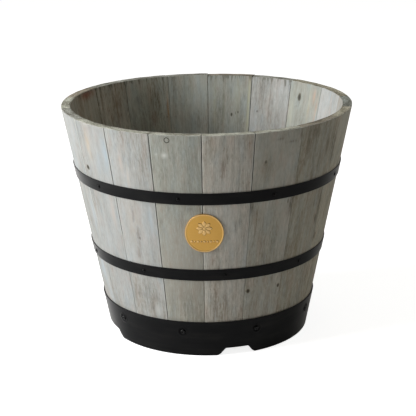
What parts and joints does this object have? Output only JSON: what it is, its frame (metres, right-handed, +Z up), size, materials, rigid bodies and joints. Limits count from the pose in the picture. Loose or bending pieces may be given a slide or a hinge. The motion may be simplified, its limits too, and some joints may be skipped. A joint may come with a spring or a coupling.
{
  "type": "barrel planter",
  "caption": "Tapered wooden barrel planter: coopered staves held by black steel hoops and a notched base band, with a slatted floor and an oval brass plaque.",
  "frame": {"origin": "centre of the tub at floor level", "axes": "+Z up along the tub's axis, the plaque faces -Y, +X to the right of someone facing the plaque"},
  "size_m": [0.4796, 0.4796, 0.383],
  "materials": {
    "washed_fir": "sawn and planed fir with a thin grey wash, matt",
    "bare_fir": "planed fir, untreated, matt",
    "zinc_plate": "zinc-plated steel",
    "black_steel": "satin black powder coat on steel strip",
    "black_fasteners": "black-painted steel, satin",
    "brass": "stamped brass, satin, lacquered"
  },
  "bodies": {
    "root": {"stave_01": "washed_fir", "stave_02": "washed_fir", "stave_03": "washed_fir", "stave_04": "washed_fir", "stave_05": "washed_fir", "stave_06": "washed_fir", "stave_07": "washed_fir", "stave_08": "washed_fir", "stave_09": "washed_fir", "stave_10": "washed_fir", "stave_11": "washed_fir", "stave_12": "washed_fir", "stave_13": "washed_fir", "stave_14": "washed_fir", "stave_15": "washed_fir", "stave_16": "washed_fir", "stave_17": "washed_fir", "stave_18": "washed_fir", "floor_slat_1": "bare_fir", "floor_slat_2": "bare_fir", "floor_slat_3": "bare_fir", "floor_slat_4": "bare_fir", "floor_slat_5": "bare_fir", "left_batten": "bare_fir", "right_batten": "bare_fir", "floor_screws": "zinc_plate", "upper_hoop": "black_steel", "lower_hoop": "black_steel", "base_band": "black_steel", "upper_hoop_nails": "black_fasteners", "lower_hoop_nails": "black_fasteners", "base_band_screws": "black_fasteners", "plaque": "brass"}
  },
  "joints": []
}
